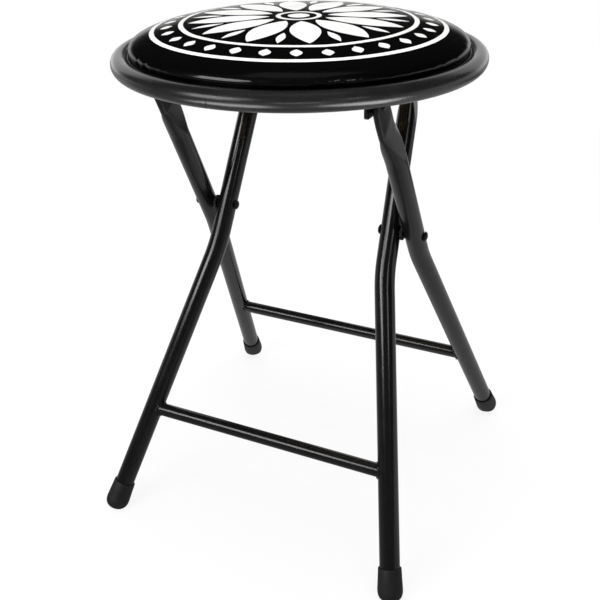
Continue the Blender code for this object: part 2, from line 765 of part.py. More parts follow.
def make_frames(outer, inner, crossing):
    """Both frames with their bars, tips and rivets. Returns the fold pivot."""
    root = add_pivot("outer_frame", (0, 0, 0))
    fold = add_pivot("leg_fold", (0, *crossing), root)
    inner_face = inner.side_point(crossing[1]).x
    outer_face = outer.side_point(crossing[1]).x
    radius = TUBE_DIAMETER / 2
    pivot_low = inner_face - radius - GAP
    pivot_high = outer_face + radius + GAP
    lean = SPACER_DIAMETER / 2 * abs(inner.knee.x - inner.neck.x) / (inner.neck.z - inner.knee.z)
    for side, mirror in SIDES:
        pivot_hole = rod_cutter("pivot_hole_" + side, ((pivot_low - CUT_PAST) * mirror, *crossing),
                                ((pivot_high + CUT_PAST) * mirror, *crossing), RIVET_DIAMETER / 2 + GAP)
        hinge_hole = rod_cutter("hinge_hole_" + side, (OUTER_TOP_X * mirror - CUT_PAST, HINGE_Y, HINGE_Z),
                                (OUTER_TOP_X * mirror + CUT_PAST, HINGE_Y, HINGE_Z), RIVET_DIAMETER / 2 + GAP)
        catch_hole = rod_cutter("catch_hole_" + side, (INNER_TOP_X * mirror - CUT_PAST, CATCH_Y, CATCH_Z),
                                (INNER_TOP_X * mirror + CUT_PAST, CATCH_Y, CATCH_Z),
                                CATCH_SPIGOT_DIAMETER / 2 + GAP)
        make_leg("outer_leg_" + side, outer, mirror, (pivot_hole, hinge_hole), root)
        make_leg("inner_leg_" + side, inner, mirror, (pivot_hole, catch_hole), fold)
        make_tip("outer_foot_" + side, outer, mirror, root)
        make_tip("inner_foot_" + side, inner, mirror, fold)
        name = "pivot_rivet_" + side
        make_rivet(name, pivot_low, pivot_high, crossing, mirror, root, dark_steel(name))
        spacer_low = inner_face + radius + GAP + lean
        spacer_high = outer_face - radius - GAP - lean
        make_spacer("pivot_spacer_" + side, spacer_low, spacer_high, crossing, mirror, root)
    make_crossbar("outer_crossbar", outer, OUTER_BAR_Z, root)
    make_crossbar("inner_crossbar", inner, INNER_BAR_Z, fold)
    make_catch_bar(inner, fold)
    return root


def make_seat(root):
    """Everything that turns with the seat about its front hinge."""
    seat = add_pivot("seat_hinge", (0, HINGE_Y, HINGE_Z), root)
    ear = bracket_outer_x()
    rim_fit = rim_fit_cutter()
    front_holes = []
    back_holes = []
    for side, mirror in SIDES:
        flange_x = (ear - BRACKET_THICKNESS - BRACKET_FLANGE / 2 - BRACKET_THICKNESS / 4) * mirror
        bracket_holes = []
        for spot, sign in (("front", -1), ("rear", 1)):
            name = f"bracket_screw_{side}_{spot}"
            place = (flange_x, HINGE_Y + sign * BRACKET_SCREW_SPREAD / 2, STRAP_UNDER_Z - BRACKET_THICKNESS)
            bracket_holes.append(screw_hole(name, place))
            make_screw(name, place, seat)
        block_holes = []
        for spot, sign in (("front", -1), ("rear", 1)):
            name = f"catch_screw_{side}_{spot}"
            offset = CATCH_BAR_DIAMETER / 2 + GAP + BLOCK_WALL + BLOCK_FLANGE / 2
            place = (BLOCK_X * mirror, CATCH_Y + sign * offset, STRAP_UNDER_Z - BLOCK_FLANGE_THICKNESS)
            block_holes.append(screw_hole(name, place))
            make_screw(name, place, seat)
        ear_hole = rod_cutter("ear_hole_" + side, (ear * mirror - CUT_PAST, HINGE_Y, HINGE_Z),
                              (ear * mirror + CUT_PAST, HINGE_Y, HINGE_Z), RIVET_DIAMETER / 2 + GAP)
        make_bracket("hinge_bracket_" + side, mirror, bracket_holes + [ear_hole], seat)
        make_block("catch_block_" + side, mirror, block_holes, seat)
        washer_low = ear + GAP
        make_washer("hinge_washer_" + side, washer_low, washer_low + WASHER_THICKNESS, (HINGE_Y, HINGE_Z),
                    mirror, root)
        name = "hinge_rivet_" + side
        make_rivet(name, ear - BRACKET_THICKNESS - GAP, OUTER_TOP_X + FLAT_THICKNESS / 2 + GAP,
                   (HINGE_Y, HINGE_Z), mirror, root, dark_steel(name))
        front_holes += bracket_holes
        back_holes += block_holes
    make_strap("front_strap", HINGE_Y, FRONT_STRAP_WIDTH, rim_fit, front_holes, seat)
    make_strap("rear_strap", CATCH_Y, REAR_STRAP_WIDTH, rim_fit, back_holes, seat)
    make_rim(seat)
    make_board(front_holes + back_holes, seat)
    make_foam(seat)
    make_cover(seat)


def centre_on_floor(root):
    """Move the whole stool so that the origin is under the middle of its outline."""
    bpy.context.view_layer.update()
    graph = bpy.context.evaluated_depsgraph_get()
    low_y, high_y = math.inf, -math.inf
    for thing in bpy.data.objects:
        if thing.type != "MESH" or thing.hide_render:
            continue
        shape = thing.evaluated_get(graph)
        for vertex in shape.data.vertices:
            reach = (shape.matrix_world @ vertex.co).y
            low_y, high_y = min(low_y, reach), max(high_y, reach)
    shift = Matrix.Translation((0, -(low_y + high_y) / 2, 0))
    for thing in bpy.data.objects:
        if thing.parent is None:
            thing.matrix_world = shift @ thing.matrix_world


def main():
    clear_scene()
    outer = outer_leg()
    inner = inner_leg()
    crossing = frame_crossing(outer, inner)
    root = make_frames(outer, inner, crossing)
    make_seat(root)
    centre_on_floor(root)


main()
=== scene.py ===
import json
import math

import bmesh
import bpy
from mathutils import Matrix, Vector
from mathutils.bvhtree import BVHTree


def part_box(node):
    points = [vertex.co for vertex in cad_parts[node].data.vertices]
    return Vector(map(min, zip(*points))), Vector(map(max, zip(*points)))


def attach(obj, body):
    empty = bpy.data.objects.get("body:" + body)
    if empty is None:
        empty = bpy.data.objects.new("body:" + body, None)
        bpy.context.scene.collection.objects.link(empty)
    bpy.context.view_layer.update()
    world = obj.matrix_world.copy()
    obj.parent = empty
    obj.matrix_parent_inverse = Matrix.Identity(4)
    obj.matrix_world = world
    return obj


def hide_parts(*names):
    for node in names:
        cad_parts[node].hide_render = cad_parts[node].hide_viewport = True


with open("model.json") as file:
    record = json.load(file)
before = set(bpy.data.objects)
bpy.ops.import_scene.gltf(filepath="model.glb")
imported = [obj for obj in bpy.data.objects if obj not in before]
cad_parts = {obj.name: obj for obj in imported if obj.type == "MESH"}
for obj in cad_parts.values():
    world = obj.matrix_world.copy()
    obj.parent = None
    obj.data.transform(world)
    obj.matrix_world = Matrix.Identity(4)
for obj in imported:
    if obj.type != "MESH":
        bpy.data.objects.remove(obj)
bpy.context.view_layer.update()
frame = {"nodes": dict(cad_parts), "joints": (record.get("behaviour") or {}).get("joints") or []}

mm = 0.001
sides = (("left", -1), ("right", 1))
sameSpot = 0.02 * mm  # points closer than this are joined


def middle(node):
    low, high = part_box(node)
    return (low + high) / 2


hinge = Vector(next(joint["pos_m"] for joint in frame["joints"] if joint["name"] == "seat_fold"))
seatCentre = middle("seat_rim")
catchBar = middle("catch_bar")


# Nodes and materials

noiseLow, noiseHigh = 0.3, 0.7  # most values of a noise texture lie between these


def linear(hexColour):
    parts = [int(hexColour[index:index + 2], 16) / 255 for index in (1, 3, 5)]
    return (*(part / 12.92 if part <= 0.04045 else ((part + 0.055) / 1.055) ** 2.4
              for part in parts), 1)


# Adds one node; inputs maps a socket to a value or to another node's output
def addNode(tree, kind, inputs=(), **settings):
    node = tree.nodes.new(kind)
    for name, value in settings.items():
        setattr(node, name, value)
    for socket, value in dict(inputs).items():
        if isinstance(value, bpy.types.NodeSocket):
            tree.links.new(value, node.inputs[socket])
        else:
            node.inputs[socket].default_value = value
    return node


def newMaterial(name, look):
    made = bpy.data.materials.new(name)
    made.use_nodes = True
    tree = made.node_tree
    shader = tree.nodes["Principled BSDF"]
    shader.inputs["Roughness"].default_value = look["roughness"]
    if "metallic" in look:
        shader.inputs["Metallic"].default_value = look["metallic"]
    else:
        shader.inputs["IOR"].default_value = look["ior"]
    place = addNode(tree, "ShaderNodeTexCoord").outputs["Object"]
    return made, tree, shader, place


def ramp(tree, factor, stops):
    node = addNode(tree, "ShaderNodeValToRGB", {"Fac": factor})
    elements = node.color_ramp.elements
    while len(elements) < len(stops):
        elements.new(0.5)
    for element, (position, colour) in zip(elements, stops):
        element.position = position
        element.color = linear(colour)
    return node.outputs["Color"]


powderCoatLook = {
    "dark": "#0f0f0f", "pale": "#131313", "roughness": 0.18, "roughnessSpread": 0.05, "ior": 1.52,
    "peelSize": 1.4 * mm, "peelDepth": 0.0035 * mm, "patchSize": 22 * mm,
}


# Gloss black powder coat, sprayed and baked on steel tube: the skin flows out nearly flat, with a
# fine orange peel that breaks up the edges of reflections and a slightly uneven gloss
def powderCoat(name, look):
    made, tree, shader, place = newMaterial(name, look)
    patches = addNode(tree, "ShaderNodeTexNoise", {
        "Vector": place, "Scale": 1 / look["patchSize"], "Detail": 4})
    colour = ramp(tree, patches.outputs["Fac"], ((0.35, look["dark"]), (0.7, look["pale"])))
    tree.links.new(colour, shader.inputs["Base Color"])
    half = look["roughnessSpread"] / 2
    gloss = addNode(tree, "ShaderNodeMapRange", {
        "Value": patches.outputs["Fac"], "From Min": noiseLow, "From Max": noiseHigh,
        "To Min": look["roughness"] - half, "To Max": look["roughness"] + half})
    tree.links.new(gloss.outputs["Result"], shader.inputs["Roughness"])
    peel = addNode(tree, "ShaderNodeTexNoise", {
        "Vector": place, "Scale": 1 / look["peelSize"], "Detail": 1})
    bump = addNode(tree, "ShaderNodeBump", {
        "Height": peel.outputs["Fac"], "Distance": look["peelDepth"], "Strength": 1.0})
    tree.links.new(bump.outputs["Normal"], shader.inputs["Normal"])
    return made


rimCoatLook = dict(powderCoatLook, dark="#171717", pale="#1b1b1b", roughness=0.27,
                   peelDepth=0.0015 * mm)

vinylLook = {
    "colour": "#050505", "roughness": 0.15, "roughnessSpread": 0.05, "ior": 1.5, "specular": 0.4,
    "grainSize": 0.9 * mm, "grainDepth": 0.012 * mm, "patchSize": 30 * mm,
}


# Upholstery vinyl, calendered on cloth with a fine embossed grain: deep black, nearly wet looking,
# with reflections that stay sharp and break up a little in the grain
def calenderedVinyl(name, look):
    made, tree, shader, place = newMaterial(name, look)
    shader.inputs["Base Color"].default_value = linear(look["colour"])
    shader.inputs["Specular IOR Level"].default_value = look["specular"]
    patches = addNode(tree, "ShaderNodeTexNoise", {
        "Vector": place, "Scale": 1 / look["patchSize"], "Detail": 3})
    half = look["roughnessSpread"] / 2
    gloss = addNode(tree, "ShaderNodeMapRange", {
        "Value": patches.outputs["Fac"], "From Min": noiseLow, "From Max": noiseHigh,
        "To Min": look["roughness"] - half, "To Max": look["roughness"] + half})
    tree.links.new(gloss.outputs["Result"], shader.inputs["Roughness"])
    cells = addNode(tree, "ShaderNodeTexVoronoi", {
        "Vector": place, "Scale": 1 / look["grainSize"]}, feature="SMOOTH_F1")
    bump = addNode(tree, "ShaderNodeBump", {
        "Height": cells.outputs["Distance"], "Distance": look["grainDepth"], "Strength": 1.0})
    tree.links.new(bump.outputs["Normal"], shader.inputs["Normal"])
    return made


rubberLook = {
    "colour": "#111111", "bloom": "#1b1b1a", "roughness": 0.6, "ior": 1.52,
    "patchSize": 9 * mm,
    "pitSize": 0.5 * mm, "pitDepth": 0.02 * mm,  # wider than real pits, so that they show
}


# Moulded rubber: soft matte black, with a faint grey bloom and fine pits from the mould
def mouldedRubber(name, look):
    made, tree, shader, place = newMaterial(name, look)
    patches = addNode(tree, "ShaderNodeTexNoise", {
        "Vector": place, "Scale": 1 / look["patchSize"], "Detail": 5})
    colour = ramp(tree, patches.outputs["Fac"], ((0.4, look["colour"]), (0.75, look["bloom"])))
    tree.links.new(colour, shader.inputs["Base Color"])
    pits = addNode(tree, "ShaderNodeTexNoise", {
        "Vector": place, "Scale": 1 / look["pitSize"], "Detail": 2})
    bump = addNode(tree, "ShaderNodeBump", {
        "Height": pits.outputs["Fac"], "Distance": look["pitDepth"], "Strength": 1.0})
    tree.links.new(bump.outputs["Normal"], shader.inputs["Normal"])
    return made


nylonLook = {
    "colour": "#101010", "roughness": 0.58, "ior": 1.53,
    "grainSize": 0.35 * mm, "grainDepth": 0.012 * mm,  # coarser than the tool's, so that it shows
}


# Injection moulded nylon: satin black with a faint even grain off the tool
def mouldedNylon(name, look):
    made, tree, shader, place = newMaterial(name, look)
    shader.inputs["Base Color"].default_value = linear(look["colour"])
    grain = addNode(tree, "ShaderNodeTexNoise", {
        "Vector": place, "Scale": 1 / look["grainSize"], "Detail": 2})
    bump = addNode(tree, "ShaderNodeBump", {
        "Height": grain.outputs["Fac"], "Distance": look["grainDepth"], "Strength": 1.0})
    tree.links.new(bump.outputs["Normal"], shader.inputs["Normal"])
    return made


blackSteelLook = {
    "dark": "#2b2b2d", "worn": "#4a4a4c", "roughness": 0.34, "metallic": 1.0,
    "wearSize": 2.2 * mm, "scratchSize": 0.6 * mm, "scratchDepth": 0.01 * mm,
}
zincSteelLook = dict(blackSteelLook, dark="#8d8f92", worn="#b4b6b8", roughness=0.3)


# Cold headed steel, blackened or zinc plated: a dull metal sheen, rubbed lighter in small patches
def platedSteel(name, look):
    made, tree, shader, place = newMaterial(name, look)
    wear = addNode(tree, "ShaderNodeTexNoise", {
        "Vector": place, "Scale": 1 / look["wearSize"], "Detail": 4})
    colour = ramp(tree, wear.outputs["Fac"], ((0.45, look["dark"]), (0.75, look["worn"])))
    tree.links.new(colour, shader.inputs["Base Color"])
    marks = addNode(tree, "ShaderNodeTexNoise", {
        "Vector": place, "Scale": 1 / look["scratchSize"], "Detail": 3})
    bump = addNode(tree, "ShaderNodeBump", {
        "Height": marks.outputs["Fac"], "Distance": look["scratchDepth"], "Strength": 1.0})
    tree.links.new(bump.outputs["Normal"], shader.inputs["Normal"])
    return made


inkLook = {
    "white": "#f6f6f4", "thin": "#e9e9e6", "roughness": 0.3, "ior": 1.5, "patchSize": 14 * mm,
    "meshSize": 0.6 * mm, "meshDepth": 0.006 * mm,  # coarser than a real screen, so that it shows
}


# Screen printed ink on vinyl: an even white film, a touch duller than the vinyl, thinner in places
def screenInk(name, look):
    made, tree, shader, place = newMaterial(name, look)
    patches = addNode(tree, "ShaderNodeTexNoise", {
        "Vector": place, "Scale": 1 / look["patchSize"], "Detail": 4})
    colour = ramp(tree, patches.outputs["Fac"], ((0.3, look["thin"]), (0.6, look["white"])))
    tree.links.new(colour, shader.inputs["Base Color"])
    mesh = addNode(tree, "ShaderNodeTexNoise", {
        "Vector": place, "Scale": 1 / look["meshSize"], "Detail": 1})
    bump = addNode(tree, "ShaderNodeBump", {
        "Height": mesh.outputs["Fac"], "Distance": look["meshDepth"], "Strength": 1.0})
    tree.links.new(bump.outputs["Normal"], shader.inputs["Normal"])
    return made


chipboardLook = {
    "resin": "#7d5f3e", "chip": "#b8966a", "pale": "#cdb083", "roughness": 0.78, "ior": 1.45,
    "chipLong": 7 * mm, "chipWide": 2.2 * mm, "chipDepth": 0.08 * mm, "chipRelief": 0.6,
}


# Pressed wood chips in resin: mottled tan flakes that lie flat, matte and slightly rough
def pressedChipboard(name, look):
    made, tree, shader, place = newMaterial(name, look)
    along, across = 1 / look["chipLong"], 1 / look["chipWide"]
    stretched = addNode(tree, "ShaderNodeMapping", {
        "Vector": place, "Scale": (along, across, across)})
    flakes = addNode(tree, "ShaderNodeTexVoronoi", {
        "Vector": stretched.outputs["Vector"], "Scale": 1})
    shade = addNode(tree, "ShaderNodeSeparateColor", {"Color": flakes.outputs["Color"]})
    colour = ramp(tree, shade.outputs["Red"], (
        (0.0, look["resin"]), (0.5, look["chip"]), (1.0, look["pale"])))
    tree.links.new(colour, shader.inputs["Base Color"])
    bump = addNode(tree, "ShaderNodeBump", {
        "Height": flakes.outputs["Distance"], "Distance": look["chipDepth"],
        "Strength": look["chipRelief"]})
    tree.links.new(bump.outputs["Normal"], shader.inputs["Normal"])
    return made


legCoat = powderCoat("glossPowderCoat", powderCoatLook)
rimCoat = powderCoat("satinPowderCoat", rimCoatLook)
vinyl = calenderedVinyl("calenderedVinyl", vinylLook)
rubber = mouldedRubber("mouldedRubber", rubberLook)
nylon = mouldedNylon("mouldedNylon", nylonLook)
blackSteel = platedSteel("blackenedSteel", blackSteelLook)
zincSteel = platedSteel("zincPlatedSteel", zincSteelLook)
ink = screenInk("whiteScreenInk", inkLook)
chipboard = pressedChipboard("pressedChipboard", chipboardLook)
print("materials made")


# Mesh helpers

def addObject(name, builder, material):
    mesh = bpy.data.meshes.new(name)
    builder.to_mesh(mesh)
    builder.free()
    mesh.materials.append(material)
    added = bpy.data.objects.new(name, mesh)
    bpy.context.scene.collection.objects.link(added)
    return added


def makePiece(name, builder, material, body, roundAngle=40):
    bmesh.ops.recalc_face_normals(builder, faces=builder.faces)
    if builder.calc_volume(signed=True) < 0:
        bmesh.ops.reverse_faces(builder, faces=builder.faces)
    piece = addObject(name, builder, material)
    piece.data.shade_smooth()
    piece.data.set_sharp_from_angle(angle=math.radians(roundAngle))
    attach(piece, body)
    return piece


def bridge(builder, low, high, closed=True):
    count = len(low)
    for index in range(count if closed else count - 1):
        after = (index + 1) % count
        builder.faces.new((low[index], low[after], high[after], high[index]))


# Skin through rings of points; it has a flat cap at each end, or its last ring meets its first
def skin(rings, closed=False):
    builder = bmesh.new()
    rows = [[builder.verts.new(point) for point in ring] for ring in rings]
    for low, high in zip(rows, rows[1:] + rows[:1] if closed else rows[1:]):
        bridge(builder, low, high)
    if not closed:
        builder.faces.new(rows[0])
        builder.faces.new(rows[-1])
    return builder


# Profile of (radius, height) turned around Z; ripple may give what to add to both at each angle
def turned(profile, steps, place, ripple=None, closed=False):
    rings = []
    for index, (radius, height) in enumerate(profile):
        ring = []
        for step in range(steps):
            angle = math.tau * step / steps
            wider, higher = ripple(angle, index) if ripple else (0, 0)
            reach = radius + wider
            point = Vector((reach * math.cos(angle), reach * math.sin(angle), height + higher))
            ring.append(place @ point)
        rings.append(ring)
    return skin(rings, closed)


weldBead = {"sides": 10, "ripple": 0.12, "rippleSteps": 4, "endShare": 0.45, "steep": 0.9}


# Round bead of metal along a path, with the ripples that a weld leaves
def bead(points, radius, closed):
    count = len(points)
    rings = []
    for index, point in enumerate(points):
        before = points[index - 1] if closed or index else point
        after = points[(index + 1) % count] if closed or index < count - 1 else point
        along = (after - before).normalized()
        steep = abs(along.z) > weldBead["steep"]
        across = (along.orthogonal() if steep else along.cross((0, 0, 1))).normalized()
        up = across.cross(along)
        wave = math.sin(index * math.tau / weldBead["rippleSteps"])
        reach = radius * (1 + weldBead["ripple"] * wave)
        if not closed and index in (0, count - 1):
            reach *= weldBead["endShare"]
        angles = [math.tau * step / weldBead["sides"] for step in range(weldBead["sides"])]
        rings.append([point + across * reach * math.cos(angle) + up * reach * math.sin(angle)
                      for angle in angles])
    return skin(rings, closed)


# Legs

legTube = {
    "diameter": 18.3 * mm, "kneeRadius": 170 * mm, "kneeSteps": 16, "around": 72,
    "footStart": 10 * mm,  # height where the tube begins, inside its rubber tip
    "flatThickness": 5.5 * mm, "flatLength": 14 * mm,
    "pressFrom": 49 * mm, "pressTo": 13 * mm, "pressEase": 1.3, "pressSteps": 30, "rounding": 3,
    "endRound": 0.36, "endTurn": 74, "endSteps": 9,  # the flat's end, an arc of endTurn degrees
}
outerLegPoints = {
    "foot": (156.6 * mm, 178.0 * mm), "knee": (107.6 * mm, 23.3 * mm, 258.8 * mm),
    "topX": 97.8 * mm, "offset": 1.9 * mm,
}
innerLegPoints = {
    "foot": (148.2 * mm, -143.0 * mm), "knee": (85.8 * mm, -9.6 * mm, 248.4 * mm),
    "topX": 76.7 * mm, "offset": 0,
}


class Leg:
    # Centre line of a leg on the right side, its points measured from the seat's centre
    def __init__(self, points, eye):
        self.foot = Vector((points["foot"][0], points["foot"][1] + seatCentre.y, 0))
        self.knee = Vector(points["knee"]) + Vector((0, seatCentre.y, 0))
        self.eye = Vector((points["topX"], eye.y, eye.z))
        rise = self.eye - self.knee
        rise.x = 0
        self.upper = rise.normalized()
        self.offset = Vector((points["offset"], 0, 0))
        self.neck = self.eye - self.upper * legTube["flatLength"] + self.offset
        self.lower = (self.knee - self.foot).normalized()

    def atHeight(self, height):
        return self.foot.lerp(self.knee, height / self.knee.z)


outerLeg = Leg(outerLegPoints, hinge)
innerLeg = Leg(innerLegPoints, catchBar)


def kneeArc(leg, steps):
    back = (leg.foot - leg.knee).normalized()
    ahead = (leg.neck - leg.knee).normalized()
    half = back.angle(ahead) / 2
    centre = leg.knee + (back + ahead).normalized() * (legTube["kneeRadius"] / math.sin(half))
    reach = legTube["kneeRadius"] / math.tan(half)
    first = leg.knee + back * reach - centre
    last = leg.knee + ahead * reach - centre
    spin = first.cross(last)
    return [centre + Matrix.Rotation(first.angle(last) * step / steps, 3, spin) @ first
            for step in range(steps + 1)]


# A round tube pressed between two flats: the flats first cut its sides, then its edges round over
# into two half circles joined by straight faces
def pressedRing(centre, along, thickness, width):
    across = Vector((1, 0, 0))
    across = (across - along * across.dot(along)).normalized()
    wide = along.cross(across)
    straight = (width - thickness) / 2
    diameter = legTube["diameter"]
    pressed = (diameter - thickness) / (diameter - legTube["flatThickness"])
    rounded = pressed ** legTube["rounding"]
    ring = []
    for index in range(legTube["around"]):
        angle = math.tau * (index + 0.5) / legTube["around"]
        cutOut = max(-thickness, min(thickness, math.cos(angle) * diameter)) / 2
        cutRise = math.sin(angle) * width / 2
        out = math.cos(angle) * thickness / 2
        rise = math.sin(angle) * thickness / 2 + math.copysign(straight, math.sin(angle))
        atSide = across * (cutOut + (out - cutOut) * rounded)
        ring.append(centre + atSide + wide * (cutRise + (rise - cutRise) * rounded))
    return ring


# Width of the tube pressed to a thickness, where the length around its skin stays the same
def pressedWidth(thickness):
    return thickness + math.pi * (legTube["diameter"] - thickness) / 2


def legRings(leg):
    diameter, flat = legTube["diameter"], legTube["flatThickness"]
    upper = (leg.neck - leg.knee).normalized()
    rings = [pressedRing(leg.atHeight(legTube["footStart"]), leg.lower, diameter, diameter)]
    arc = kneeArc(leg, legTube["kneeSteps"])
    for index, point in enumerate(arc):
        along = leg.lower.lerp(upper, index / (len(arc) - 1)).normalized()
        rings.append(pressedRing(point, along, diameter, diameter))
    for step in range(legTube["pressSteps"] + 1):
        share = step / legTube["pressSteps"]
        eased = share ** legTube["pressEase"]
        thickness = diameter + (flat - diameter) * eased
        below = legTube["pressFrom"] + (legTube["pressTo"] - legTube["pressFrom"]) * share
        centre = leg.neck - upper * below - leg.offset * eased
        rings.append(pressedRing(centre, upper, thickness, pressedWidth(thickness)))
    flatWidth = pressedWidth(flat)
    turning = upper.lerp(leg.upper, 0.5).normalized()
    rings.append(pressedRing(leg.neck - leg.offset, turning, flat, flatWidth))
    for step in range(legTube["endSteps"]):
        share = math.sin(math.radians(legTube["endTurn"]) * step / (legTube["endSteps"] - 1))
        width = max(flatWidth * math.sqrt(1 - share * share), flat)
        centre = leg.eye + leg.upper * legTube["endRound"] * flatWidth * share
        rings.append(pressedRing(centre, leg.upper, flat, width))
    return rings


def mirrored(points, mirror):
    return [Vector((point.x * mirror, point.y, point.z)) for point in points]


for legName, leg, body in (("outer_leg", outerLeg, "outer_frame"),
                           ("inner_leg", innerLeg, "inner_frame")):
    for side, mirror in sides:
        tube = skin([mirrored(ring, mirror) for ring in legRings(leg)])
        piece = makePiece(f"{legName}Tube_{side}", tube, legCoat, body)
        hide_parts(f"{legName}_{side}")
print("legs made")


# Crossbars and their welds

crossbar = {
    "diameter": 12.7 * mm, "outerHeight": 104.2 * mm, "innerHeight": 96.0 * mm, "around": 40,
    "sunk": 0.6 * mm,  # how far the shaped ends reach into the legs
    "weldRadius": 1.5 * mm, "weldSteps": 64,
}


# Where one line of the bar's skin, at an angle around the bar, meets the leg's surface
def coped(leg, end, angle):
    radius = crossbar["diameter"] / 2
    start = end + Vector((0, radius * math.cos(angle), radius * math.sin(angle)))
    inward = Vector((-1, 0, 0))
    offset = start - leg.foot
    flatOffset = offset - leg.lower * offset.dot(leg.lower)
    flatInward = inward - leg.lower * inward.dot(leg.lower)
    a = flatInward.length_squared
    b = 2 * flatOffset.dot(flatInward)
    c = flatOffset.length_squared - (legTube["diameter"] / 2) ** 2
    reach = (-b + math.sqrt(max(b * b - 4 * a * c, 0))) / (2 * a)
    return start + inward * reach


for barName, leg, height, body in (
        ("outer_crossbar", outerLeg, crossbar["outerHeight"], "outer_frame"),
        ("inner_crossbar", innerLeg, crossbar["innerHeight"], "inner_frame")):
    end = leg.atHeight(height)
    sunk = Vector((crossbar["sunk"], 0, 0))
    right = [coped(leg, end, math.tau * index / crossbar["around"]) + sunk
             for index in range(crossbar["around"])]
    tube = skin([right, mirrored(right, -1)])
    piece = makePiece(barName + "Tube", tube, legCoat, body)
    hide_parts(barName)
    weldPath = [coped(leg, end, math.tau * index / crossbar["weldSteps"])
                for index in range(crossbar["weldSteps"])]
    for side, mirror in sides:
        weld = bead(mirrored(weldPath, mirror), crossbar["weldRadius"], True)
        makePiece(f"{barName}Weld_{side}", weld, legCoat, body, 60)
print("crossbars made")


# Foot tips

footTip = {
    "wall": 2.0 * mm, "gap": 0.3 * mm, "length": 30 * mm, "taper": 0.9 * mm, "lipRound": 0.5 * mm,
    "fullness": 2.7, "ballSteps": 14,  # a fullness of 2 would make the bottom half a ball
    "cut": 3.3 * mm, "edgeRound": 0.9 * mm,  # the bottom is cut flat where it stands
    "onAxis": 0.05 * mm, "around": 56,
}


def tipBuilder(leg, mirror):
    bore = legTube["diameter"] / 2 + footTip["gap"]
    wide = bore + footTip["wall"]
    narrow = wide - footTip["taper"]
    top = footTip["length"] - wide
    lip = footTip["lipRound"]
    fuller = 2 / footTip["fullness"]
    profile = []
    for step in range(footTip["ballSteps"] + 1):
        angle = math.pi / 2 * step / footTip["ballSteps"]
        radius = max(wide * math.sin(angle) ** fuller, footTip["onAxis"])
        profile.append((radius, -wide * math.cos(angle) ** fuller))
    profile += [(narrow + footTip["taper"] * 0.3, top * 0.6), (narrow, top - lip),
                (narrow - lip * 0.3, top - lip * 0.3), (narrow - lip, top), (bore + lip * 0.4, top),
                (bore, top - lip), (bore, 0), (footTip["onAxis"], 0)]
    place = Matrix.Diagonal((mirror, 1, 1, 1))
    place = place @ Matrix.Translation(leg.atHeight(wide - footTip["cut"]))
    place = place @ leg.lower.to_track_quat("Z", "Y").to_matrix().to_4x4()
    builder = turned(profile, footTip["around"], place)
    bmesh.ops.remove_doubles(builder, verts=builder.verts, dist=sameSpot)
    floor = bmesh.ops.bisect_plane(
        builder, geom=builder.verts[:] + builder.edges[:] + builder.faces[:], plane_co=(0, 0, 0),
        plane_no=(0, 0, -1), clear_outer=True, dist=0.001 * mm)
    edge = [item for item in floor["geom_cut"] if isinstance(item, bmesh.types.BMEdge)]
    bmesh.ops.edgeloop_fill(builder, edges=edge)
    bmesh.ops.bevel(builder, geom=edge, offset=footTip["edgeRound"], segments=3, profile=0.5,
                    affect="EDGES")
    return builder


for tipName, leg, body in (("outer_foot", outerLeg, "outer_frame"),
                           ("inner_foot", innerLeg, "inner_frame")):
    for side, mirror in sides:
        tip = tipBuilder(leg, mirror)
        piece = makePiece(f"{tipName}Tip_{side}", tip, rubber, body, 50)
        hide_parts(f"{tipName}_{side}")
print("foot tips made")


# Rivets and spacers

rivet = {
    "head": 4.6 * mm, "rise": 2.4 * mm, "shank": 2.9 * mm, "domeSteps": 7, "around": 36,
    "dimple": 1.3 * mm, "dimpleDepth": 0.5 * mm, "dimpleEdge": 0.1 * mm,
}
spacer = {
    "radius": 6.8 * mm, "bore": 3.4 * mm, "edge": 0.4 * mm,
    "flutes": 14, "fluteDepth": 0.7 * mm, "fluteSteps": 10,
}


def rivetBuilder(node, mirror):
    low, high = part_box(node)
    length = high.x - low.x - 2 * rivet["rise"]
    dimpleFloor = rivet["rise"] - rivet["dimpleDepth"]
    dome = [(rivet["dimple"] * 0.1, dimpleFloor), (rivet["dimple"] * 0.6, dimpleFloor),
            (rivet["dimple"], rivet["rise"] - rivet["dimpleEdge"])]
    for step in range(2, rivet["domeSteps"] + 1):
        angle = math.pi / 2 * step / rivet["domeSteps"]
        dome.append((rivet["head"] * math.sin(angle), rivet["rise"] * math.cos(angle)))
    profile = [(radius, length / 2 + rise) for radius, rise in dome]
    profile += [(rivet["shank"], length / 2)]
    profile += [(radius, -height) for radius, height in reversed(profile)]
    place = Matrix.Translation((low + high) / 2) @ Matrix.Rotation(math.pi / 2 * mirror, 4, "Y")
    return turned(profile, rivet["around"], place)


def spacerBuilder(node):
    low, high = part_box(node)
    half = (high.x - low.x) / 2
    bore, radius, edge = spacer["bore"], spacer["radius"], spacer["edge"]
    profile = [(bore, half), (radius - edge, half), (radius, half - edge),
               (radius, edge - half), (radius - edge, -half), (bore, -half)]

    def flutes(angle, index):
        onSide = 0 < index < len(profile) - 1
        groove = (0.5 - 0.5 * math.cos(angle * spacer["flutes"])) ** 2
        return -onSide * spacer["fluteDepth"] * groove, 0

    place = Matrix.Translation((low + high) / 2) @ Matrix.Rotation(math.pi / 2, 4, "Y")
    return turned(profile, spacer["flutes"] * spacer["fluteSteps"], place, flutes, True)


for side, mirror in sides:
    for kind in ("pivot_rivet", "hinge_rivet"):
        node = f"{kind}_{side}"
        piece = makePiece(f"{kind}Steel_{side}", rivetBuilder(node, mirror), blackSteel,
                          "outer_frame")
        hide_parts(node)
    node = f"pivot_spacer_{side}"
    piece = makePiece(f"pivotSpacerFluted_{side}", spacerBuilder(node), nylon,
                      "outer_frame", 35)
    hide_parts(node)
print("rivets and spacers made")


# Seat rim

